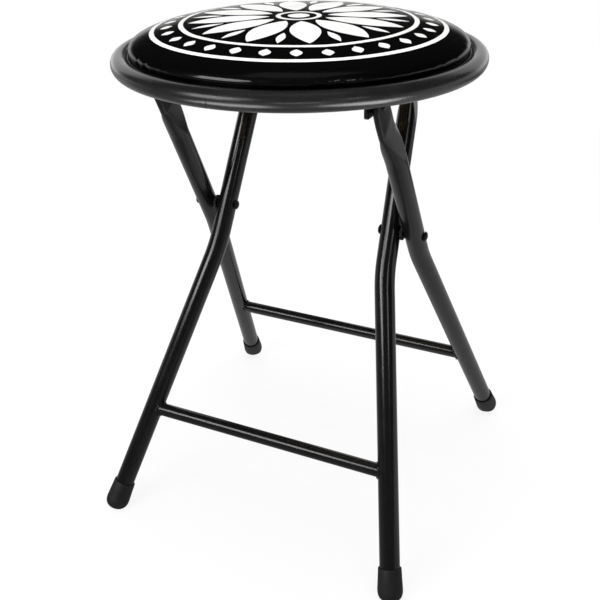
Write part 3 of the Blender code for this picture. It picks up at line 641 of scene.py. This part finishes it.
rim = {
    "outerRadius": 156.4 * mm, "tube": 7.6 * mm, "steps": 240, "around": 40,
    "seamWidth": 1.6 * mm, "seamDepth": 0.9 * mm,
    "seamTop": 0.08,  # share of the depth that is left on top, where the joint nearly closes
    # across the joint, as shares of half its width and of its depth
    "seamShape": ((-1, 0), (-0.5, 0.35), (-0.12, 1), (0.12, 1), (0.5, 0.35), (1, 0)),
}
rim["centre"] = rim["outerRadius"] - rim["tube"]


def rimPoint(azimuth, tilt, reach):
    radius = rim["centre"] + reach * math.cos(tilt)
    offset = (radius * math.cos(azimuth), radius * math.sin(azimuth), reach * math.sin(tilt))
    return seatCentre + Vector(offset)


def rimBuilder():
    front = -math.pi / 2
    stops = [(front + math.tau * (step + 0.5) / rim["steps"], 0) for step in range(rim["steps"])]
    half = rim["seamWidth"] / 2 / rim["centre"]
    for share, depth in rim["seamShape"]:
        stops.append((front + math.tau + half * share, rim["seamDepth"] * depth))
    tilts = [math.tau * index / rim["around"] for index in range(rim["around"])]
    rings = []
    for azimuth, depth in stops:
        cuts = [depth * max(rim["seamTop"], -math.sin(tilt)) for tilt in tilts]
        rings.append([rimPoint(azimuth, tilt, rim["tube"] - cut) for tilt, cut in zip(tilts, cuts)])
    return skin(rings, True)


piece = makePiece("seatRimTube", rimBuilder(), rimCoat, "seat", 50)
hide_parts("seat_rim")


# Short welds under each strap end, where it meets the inside of the rim
straps = ("front_strap", "rear_strap")
strapWeld = {"radius": 1.3 * mm, "inset": 4 * mm, "steps": 24}
for node in straps:
    low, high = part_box(node)
    inner = rim["centre"] - rim["tube"]
    length = high.y - low.y - 2 * strapWeld["inset"]
    for side, mirror in sides:
        path = []
        for step in range(strapWeld["steps"] + 1):
            y = low.y + strapWeld["inset"] + length * step / strapWeld["steps"]
            x = mirror * math.sqrt(inner ** 2 - (y - seatCentre.y) ** 2)
            path.append(Vector((x, y, low.z)))
        weld = bead(path, strapWeld["radius"], False)
        makePiece(f"{node}Weld_{side}", weld, rimCoat, "seat", 60)
print("rim made")


# Pad: vinyl over foam, which swells a little between its edges

pad = {
    "inset": 0.9 * mm, "edgeRise": 6.3 * mm, "crownRise": 26.9 * mm,
    "topPower": 2.2, "sidePower": 2.48,  # how full the dome is at its crown and at its shoulders
    # where the cover rolls under: distance in from its edge, and share of the edge's rise
    "underRoll": ((0.3 * mm, 0.6), (1.2 * mm, 0.3), (2.6 * mm, 0.2)),
    # the bottom lies inside the board, whose own face shows below
    "bottomInset": 5 * mm, "sunkBottom": 2.6 * mm, "onAxis": 0.3 * mm,
    "domeSteps": 40, "around": 120, "voxel": 4.0 * mm, "smoothing": 4,
    # the cloth: what lies below pinnedRise stays, and no point swells past the cap
    "pressure": 4.0, "stiffness": 20, "lastFrame": 20, "pinnedRise": 5 * mm,
    "cap": 1.2 * mm, "evenings": 14,
}
padLow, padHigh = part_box("seat_cover")
padRadius = (padHigh.x - padLow.x) / 2
padBase = Matrix.Translation((seatCentre.x, seatCentre.y, padLow.z))


# Dome from the crown to the lower edge, as radius and height above the pad's underside
def padProfile():
    edge = padRadius - pad["inset"]
    rise = pad["crownRise"] - pad["edgeRise"] - pad["inset"]
    points = []
    for step in range(pad["domeSteps"] + 1):
        share = math.cos(math.pi / 2 * step / pad["domeSteps"])
        radius = edge * (1 - share ** pad["topPower"]) ** (1 / pad["sidePower"])
        points.append((max(radius, pad["onAxis"]), pad["edgeRise"] + rise * share))
    points += [(edge - inset, pad["edgeRise"] * share) for inset, share in pad["underRoll"]]
    points += [(edge - pad["bottomInset"], pad["sunkBottom"]), (pad["onAxis"], pad["sunkBottom"])]
    return points


def shapedMesh(piece):
    graph = bpy.context.evaluated_depsgraph_get()
    return bpy.data.meshes.new_from_object(piece.evaluated_get(graph))


def bakeModifiers(piece):
    bpy.context.view_layer.update()
    baked = shapedMesh(piece)
    piece.modifiers.clear()
    piece.data = baked


def surfaceTree(piece):
    return BVHTree.FromPolygons([vertex.co.copy() for vertex in piece.data.vertices],
                                [tuple(face.vertices) for face in piece.data.polygons])


# Even squares over the turned pad, so that the cloth moves the same everywhere
def remeshPad(piece):
    shell = surfaceTree(piece)
    remesh = piece.modifiers.new("remesh", "REMESH")
    remesh.mode = "VOXEL"
    remesh.voxel_size = pad["voxel"]
    smooth = piece.modifiers.new("smooth", "SMOOTH")
    smooth.iterations = pad["smoothing"]
    bakeModifiers(piece)
    for vertex in piece.data.vertices:
        vertex.co = shell.find_nearest(vertex.co)[0]
    piece.data.update()


# Places of the pad's points once it has swollen under pressure, evened out over their neighbours
def swelling(piece):
    rest = [vertex.co.copy() for vertex in piece.data.vertices]
    normals = [vertex.normal.copy() for vertex in piece.data.vertices]
    pinned = piece.vertex_groups.new(name="pinned")
    floor = padLow.z + pad["pinnedRise"]
    low = [vertex.index for vertex in piece.data.vertices if vertex.co.z < floor]
    pinned.add(low, 1.0, "REPLACE")
    cloth = piece.modifiers.new("cloth", "CLOTH")
    cloth.settings.use_pressure = True
    cloth.settings.uniform_pressure_force = pad["pressure"]
    cloth.settings.effector_weights.gravity = 0
    cloth.settings.vertex_group_mass = "pinned"
    cloth.settings.tension_stiffness = pad["stiffness"]
    cloth.settings.compression_stiffness = pad["stiffness"]
    cloth.point_cache.frame_start = 1
    cloth.point_cache.frame_end = pad["lastFrame"]
    scene = bpy.context.scene
    for number in range(1, pad["lastFrame"] + 1):
        scene.frame_set(number)
    settled = shapedMesh(piece)
    piece.modifiers.clear()
    scene.frame_set(1)
    heights = [(moved.co - start).dot(normal)
               for moved, start, normal in zip(settled.vertices, rest, normals)]
    print(f"pad: {len(rest)} points, swells {max(heights) * 1000:.1f} mm before the cap")
    heights = [min(max(height, 0), pad["cap"]) for height in heights]
    bpy.data.meshes.remove(settled)
    edges = [tuple(edge.vertices) for edge in piece.data.edges]
    for _ in range(pad["evenings"]):
        total, count = heights[:], [1] * len(heights)
        for first, second in edges:
            total[first] += heights[second]
            total[second] += heights[first]
            count[first] += 1
            count[second] += 1
        heights = [height / number for height, number in zip(total, count)]
    return [start + normal * height for start, normal, height in zip(rest, normals, heights)]


cover = makePiece("padCover", turned(padProfile(), pad["around"], padBase), vinyl,
                  "seat")
remeshPad(cover)
for vertex, swollen in zip(cover.data.vertices, swelling(cover)):
    vertex.co = swollen
finer = cover.modifiers.new("finer", "SUBSURF")
finer.levels = finer.render_levels = 1
bakeModifiers(cover)
cover.data.shade_smooth()
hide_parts("seat_cover", "seat_foam")


# Edge of the vinyl: it closes against the rim, turns under the pad and is stapled to the board
# in pleats
tuck = {
    "lipRadius": 126 * mm, "thickness": 0.9 * mm, "around": 576,
    "pleats": 72, "pleatDepth": 0.25 * mm, "pleatSharpness": 3,
    "drift": 1.7, "driftWaves": 5,  # how unevenly the pleats are spread
}
staple = {
    "count": 40, "radius": 129.5 * mm, "crown": 8 * mm, "wire": 0.7 * mm, "strapGap": 3 * mm,
    # how unevenly the staples are set, as a share of their spacing and an angle
    "spacingDrift": 0.3, "spacingPhase": 2.4, "turnDrift": 0.25, "turnPhase": 5.1,
}


def tuckBuilder():
    edge = padRadius
    lip = tuck["thickness"]
    profile = [(edge - 3.2 * mm, 3.4 * mm), (edge - 1.2 * mm, 3.0 * mm),
               (edge - 0.1 * mm, 2.2 * mm), (edge + 0.3 * mm, 1.2 * mm),
               (edge - 0.4 * mm, 0.2 * mm), (edge - 1.6 * mm, 0),
               (edge - 6 * mm, 0), (tuck["lipRadius"] + 3 * mm, 0), (tuck["lipRadius"], 0),
               (tuck["lipRadius"], lip), (edge - 4 * mm, lip)]
    pleatedRows = (6, 7)  # the two that bound the flat on the board

    def pleats(angle, index):
        turn = angle * tuck["pleats"] + tuck["drift"] * math.sin(angle * tuck["driftWaves"])
        fold = max(0, math.sin(turn)) ** tuck["pleatSharpness"]
        return 0, -tuck["pleatDepth"] * fold * (index in pleatedRows)

    return turned(profile, tuck["around"], padBase, pleats, True)


makePiece("coverTuck", tuckBuilder(), vinyl, "seat", 60)


def underStrap(y):
    gap = staple["strapGap"]
    return any(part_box(node)[0].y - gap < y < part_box(node)[1].y + gap for node in straps)


def staplesBuilder():
    builder = bmesh.new()
    size = Matrix.Diagonal((staple["wire"], staple["crown"], staple["wire"], 1))
    sunk = Matrix.Translation((staple["radius"], 0, -staple["wire"] * 0.3))
    for index in range(staple["count"]):
        drift = staple["spacingDrift"] * math.sin(index * staple["spacingPhase"])
        angle = math.tau * (index + drift) / staple["count"]
        place = padBase @ Matrix.Rotation(angle, 4, "Z") @ sunk
        if underStrap(place.translation.y):
            continue
        turn = staple["turnDrift"] * math.sin(index * staple["turnPhase"])
        bmesh.ops.create_cube(builder, size=1, matrix=place @ Matrix.Rotation(turn, 4, "Z") @ size)
    return builder


makePiece("coverStaples", staplesBuilder(), zincSteel, "seat", 30)
print("pad made")


# Printed rosette, which lies on the pad's own surface

rosette = {
    "lift": 0.12 * mm,  # how far the film stands on the vinyl
    "ringSteps": 160, "ringRow": 2 * mm, "leafColumns": 6,
    # inner and outer radius of each ring, the last one a disc
    "rings": ((119 * mm, 123 * mm), (95 * mm, 99 * mm), (15 * mm, 19 * mm), (0.4 * mm, 9 * mm)),
    # count, inner and outer radius, half width, turn in spacings, power of the outline, rows
    "petals": (12, 24 * mm, 91 * mm, 12 * mm, 0, 0.8, 22),
    "darts": (12, 64 * mm, 91 * mm, 3.4 * mm, 0.5, 1.0, 10),
    "lozenges": (30, 103.5 * mm, 114.5 * mm, 4.6 * mm, 0.5, 1.0, 6),
}
coverTree = surfaceTree(cover)
overPad = padHigh.z + 40 * mm  # where the rays down onto the pad start


def onPad(x, y):
    start = Vector((seatCentre.x + x, seatCentre.y + y, overPad))
    hit = coverTree.ray_cast(start, Vector((0, 0, -1)))[0]
    return hit + Vector((0, 0, rosette["lift"]))


# Patch of print; pointAt gives the place for a share of 0 to 1 along it and of -1 to 1 across it
def printPatch(builder, rows, columns, pointAt, closed=False):
    grid = []
    for row in range(rows + 1):
        shares = [2 * column / columns - 1 for column in range(columns if closed else columns + 1)]
        grid.append([builder.verts.new(onPad(*pointAt(row / rows, share))) for share in shares])
    for low, high in zip(grid, grid[1:]):
        bridge(builder, low, high, closed)


def printRing(builder, low, high):
    def pointAt(along, across):
        radius = low + (high - low) * along
        return radius * math.cos(across * math.pi), radius * math.sin(across * math.pi)

    rows = max(2, round((high - low) / rosette["ringRow"]))
    printPatch(builder, rows, rosette["ringSteps"], pointAt, True)


def printLeaves(builder, count, low, high, half, turn, power, rows):
    for index in range(count):
        heading = math.tau * (index + turn) / count

        def pointAt(along, across, heading=heading):
            radius = low + (high - low) * along
            side = across * half * math.sin(math.pi * along) ** power
            return (radius * math.cos(heading) - side * math.sin(heading),
                    radius * math.sin(heading) + side * math.cos(heading))

        printPatch(builder, rows, rosette["leafColumns"], pointAt)


def rosetteBuilder():
    builder = bmesh.new()
    for low, high in rosette["rings"]:
        printRing(builder, low, high)
    for leaves in ("petals", "darts", "lozenges"):
        printLeaves(builder, *rosette[leaves])
    bmesh.ops.remove_doubles(builder, verts=builder.verts, dist=sameSpot)
    bmesh.ops.recalc_face_normals(builder, faces=builder.faces)
    if builder.faces[:][0].normal.z < 0:
        bmesh.ops.reverse_faces(builder, faces=builder.faces)
    return builder


# An open sheet, whose normals makePiece couldn't set by its volume
piece = addObject("printedRosette", rosetteBuilder(), ink)
piece.data.shade_smooth()
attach(piece, "seat")
print("print made")


# CAD nodes that stay, with their finishes

finishes = {
    "front_strap": rimCoat, "rear_strap": rimCoat, "hinge_bracket": rimCoat, "catch_bar": legCoat,
    "catch_block": nylon, "hinge_washer": nylon, "seat_board": chipboard,
    "bracket_screw": blackSteel, "catch_screw": blackSteel,
}
for name, node in frame["nodes"].items():
    for kind, finish in finishes.items():
        if name.startswith(kind):
            for slot in node.material_slots:
                slot.material = finish
            if not node.data.materials:
                node.data.materials.append(finish)
print("CAD nodes finished")


# Studio: a floor and a sky that are white to the camera and darker in reflections, where the black
# gloss shows soft lamps at the front, below the rim, at both sides and above

paperLook = {"colour": "#f4f4f4", "roughness": 0.9, "ior": 1.5, "specular": 0.1}
studio = {
    "floorSize": 30.0,
    # share of plain white in the floor near the stool, which grows to 1 between two distances
    "nearGlow": 0.87, "glowNear": 0.5, "glowFar": 1.3,
    # the floor's glow in reflections, a painted reflection, from front to rear, and a painted shade
    # patch at the rear right
    "frontInGloss": 0.2, "rearInGloss": 0.55, "glossTurn": (-0.25, 0.05),
    "shadeAt": (0.78, 1.15, 0), "shadeNear": 0.3, "shadeFar": 0.6, "shadeInGloss": 0.1,
    # the sky in reflections, from the horizon up, and its front
    "horizon": 0.8, "horizonTop": 0.0, "darkFrom": 0.14, "dark": 0.01,
    "front": 0.07, "frontTurn": (-0.6, 0.0),
    "overhead": 80,  # a lamp above this elevation aims at the seat's centre
}
# Each lamp: azimuth from the front toward the right and elevation, as seen from the rim's nearest
# point, then distance, width, height, watts and whether glossy surfaces show it. One below the seat
# lies flat and faces up.
lamps = {
    "overheadPanel": (0, 90, 2.2, 3.0, 3.0, 100, False),
    "overheadGlow": (0, 88, 1.9, 1.2, 1.2, 1.0, True),
    "keyLow": (-27, 17, 1.6, 0.86, 0.20, 5.0, True),
    "keyHigh": (-25, 30, 1.6, 0.96, 0.24, 6.6, True),
    "rightBox": (55, 23, 1.6, 0.28, 0.30, 0.9, True),
    "frontStrip": (25, 2.5, 2.3, 1.2, 0.06, 4.0, True),
    "lowLeftPanel": (-15, -32, 0.81, 0.60, 0.56, 8.0, True),
    "lowRightPanel": (62, -32, 0.81, 0.58, 0.62, 10.5, True),
    "leftWall": (-126, 16, 2.0, 1.7, 1.6, 9.0, True),
    "rightWall": (173, 16, 2.0, 2.1, 1.6, 10.0, True),
}


def makeLamp(name, azimuth, elevation, distance, width, height, watts, inGloss):
    data = bpy.data.lights.new(name, "AREA")
    data.shape = "RECTANGLE"
    data.size, data.size_y = width, height
    data.energy = watts
    lamp = bpy.data.objects.new(name, data)
    turn, rise = math.radians(azimuth), math.radians(elevation)
    heading = Vector((math.sin(turn) * math.cos(rise), -math.cos(turn) * math.cos(rise),
                      math.sin(rise)))
    aim = Vector((0, seatCentre.y, seatCentre.z))
    if elevation < studio["overhead"]:
        aim += Vector((heading.x, heading.y, 0)).normalized() * rim["centre"]
    lamp.location = aim + heading * distance
    if elevation < 0:
        heading = Vector((0, 0, -1))
    lamp.rotation_euler = (-heading).to_track_quat("-Z", "Y").to_euler()
    lamp.visible_camera = False
    lamp.visible_glossy = inGloss
    bpy.context.scene.collection.objects.link(lamp)
    return lamp


# Pieces that a lamp lights alone, or leaves out
def lampTarget(name, pieces, state):
    target = bpy.data.collections.new(name)
    for piece in pieces:
        target.objects.link(bpy.data.objects[piece])
    for member in target.collection_objects:
        member.light_linking.link_state = state
    return target


# The walls leave out the pad, whose gloss would show them as pale patches on its shoulders, and the
# low lamps light the rim but put no streaks on the legs
notPad = lampTarget("notPad", ("padCover", "coverTuck", "printedRosette"), "EXCLUDE")
rimAlone = lampTarget("rimAlone", ("seatRimTube",), "INCLUDE")
lampTargets = {
    "leftWall": notPad, "rightWall": notPad,
    "lowLeftPanel": rimAlone, "lowRightPanel": rimAlone, "frontStrip": rimAlone,
}
for lampName, lampValues in lamps.items():
    lamp = makeLamp(lampName, *lampValues)
    if lampName in lampTargets:
        lamp.light_linking.receiver_collection = lampTargets[lampName]


# White paper floor: mostly plain white to the camera, with a lit share near the stool for its
# shadow. In reflections it is a glow alone, a painted reflection that no lamp makes, dimmer at the
# front and with a painted shade patch at the rear right
def floorMaterial():
    made, tree, shader, place = newMaterial("paperFloor", paperLook)
    shader.inputs["Base Color"].default_value = linear(paperLook["colour"])
    shader.inputs["Specular IOR Level"].default_value = paperLook["specular"]
    rays = addNode(tree, "ShaderNodeLightPath").outputs
    reach = addNode(tree, "ShaderNodeVectorMath", {0: place}, operation="LENGTH")
    share = addNode(tree, "ShaderNodeMapRange", {
        "Value": reach.outputs["Value"],
        "From Min": studio["glowNear"], "From Max": studio["glowFar"],
        "To Min": studio["nearGlow"], "To Max": 1.0}, interpolation_type="SMOOTHSTEP")
    seen = addNode(tree, "ShaderNodeMath", {
        0: rays["Is Camera Ray"], 1: share.outputs["Result"]}, operation="MULTIPLY")
    either = addNode(tree, "ShaderNodeMath", {
        0: seen.outputs[0], 1: rays["Is Glossy Ray"]}, operation="MAXIMUM")
    parts = addNode(tree, "ShaderNodeSeparateXYZ", {"Vector": place})
    # painted reflection: the level of the floor's glow in reflections, from front to rear
    inGloss = addNode(tree, "ShaderNodeMapRange", {
        "Value": parts.outputs["Y"],
        "From Min": studio["glossTurn"][0], "From Max": studio["glossTurn"][1],
        "To Min": studio["frontInGloss"], "To Max": studio["rearInGloss"]},
        interpolation_type="SMOOTHSTEP")
    # painted shade: a darker patch in the floor's glow in reflections, at the rear right
    offShade = addNode(tree, "ShaderNodeVectorMath", {
        0: place, 1: studio["shadeAt"]}, operation="DISTANCE")
    fade = addNode(tree, "ShaderNodeMapRange", {
        "Value": offShade.outputs["Value"],
        "From Min": studio["shadeNear"], "From Max": studio["shadeFar"],
        "To Min": 0.0, "To Max": 1.0}, interpolation_type="SMOOTHSTEP")
    faded = addNode(tree, "ShaderNodeMix", {
        "Factor": fade.outputs["Result"], "A": studio["shadeInGloss"],
        "B": inGloss.outputs["Result"]}, data_type="FLOAT")
    level = addNode(tree, "ShaderNodeMix", {
        "Factor": rays["Is Camera Ray"], "A": faded.outputs["Result"], "B": 1.0}, data_type="FLOAT")
    glow = addNode(tree, "ShaderNodeEmission", {
        "Color": (1, 1, 1, 1), "Strength": level.outputs["Result"]})
    mix = addNode(tree, "ShaderNodeMixShader", {
        0: either.outputs[0], 1: shader.outputs[0], 2: glow.outputs[0]})
    tree.links.new(mix.outputs[0], tree.nodes["Material Output"].inputs["Surface"])
    return made


def makeFloor():
    builder = bmesh.new()
    bmesh.ops.create_grid(builder, x_segments=1, y_segments=1, size=studio["floorSize"] / 2)
    floor = addObject("studioFloor", builder, floorMaterial())


makeFloor()


def makeWorld():
    world = bpy.data.worlds.new("studio")
    world.use_nodes = True
    tree = world.node_tree
    background = tree.nodes["Background"]
    direction = addNode(tree, "ShaderNodeTexCoord").outputs["Generated"]
    parts = addNode(tree, "ShaderNodeSeparateXYZ", {"Vector": direction})
    fall = addNode(tree, "ShaderNodeMapRange", {
        "Value": parts.outputs["Z"],
        "From Min": studio["horizonTop"], "From Max": studio["darkFrom"],
        "To Min": studio["horizon"], "To Max": studio["dark"]}, interpolation_type="SMOOTHSTEP")
    toFront = addNode(tree, "ShaderNodeMapRange", {
        "Value": parts.outputs["Y"],
        "From Min": studio["frontTurn"][0], "From Max": studio["frontTurn"][1],
        "To Min": 0.0, "To Max": 1.0}, interpolation_type="SMOOTHSTEP")
    level = addNode(tree, "ShaderNodeMix", {
        "Factor": toFront.outputs["Result"], "A": studio["front"],
        "B": fall.outputs["Result"]}, data_type="FLOAT")
    rays = addNode(tree, "ShaderNodeLightPath")
    shown = addNode(tree, "ShaderNodeMix", {
        "Factor": rays.outputs["Is Camera Ray"], "A": level.outputs["Result"],
        "B": 1.0}, data_type="FLOAT")
    tree.links.new(shown.outputs["Result"], background.inputs["Strength"])
    background.inputs["Color"].default_value = (1, 1, 1, 1)
    bpy.context.scene.world = world


makeWorld()
print("studio made")


# Camera, fitted to the photograph

view = {
    "lens": 50.363, "sensor": 36, "yaw": 25.3484, "pitch": 28.8044, "roll": -0.9953,
    "distance": 837.97 * mm, "target": 161 * mm, "slideRight": 2.987 * mm, "slideUp": -33.543 * mm,
}


def makeCamera():
    yaw, pitch, roll = (math.radians(view[name]) for name in ("yaw", "pitch", "roll"))
    ahead = Vector((-math.sin(yaw) * math.cos(pitch), math.cos(yaw) * math.cos(pitch),
                    -math.sin(pitch)))
    right = Vector((math.cos(yaw), math.sin(yaw), 0))
    up = right.cross(ahead)
    place = Vector((0, seatCentre.y, view["target"])) - ahead * view["distance"]
    place -= right * view["slideRight"] + up * view["slideUp"]
    rolledRight = right * math.cos(roll) + up * math.sin(roll)
    rolledUp = up * math.cos(roll) - right * math.sin(roll)
    data = bpy.data.cameras.new("camera")
    data.lens = view["lens"]
    data.sensor_width = view["sensor"]
    camera = bpy.data.objects.new("camera", data)
    turn = Matrix((rolledRight, rolledUp, -ahead)).transposed()
    camera.matrix_world = Matrix.Translation(place) @ turn.to_4x4()
    bpy.context.scene.collection.objects.link(camera)
    bpy.context.scene.camera = camera


makeCamera()
bpy.context.scene.view_settings.view_transform = "Standard"
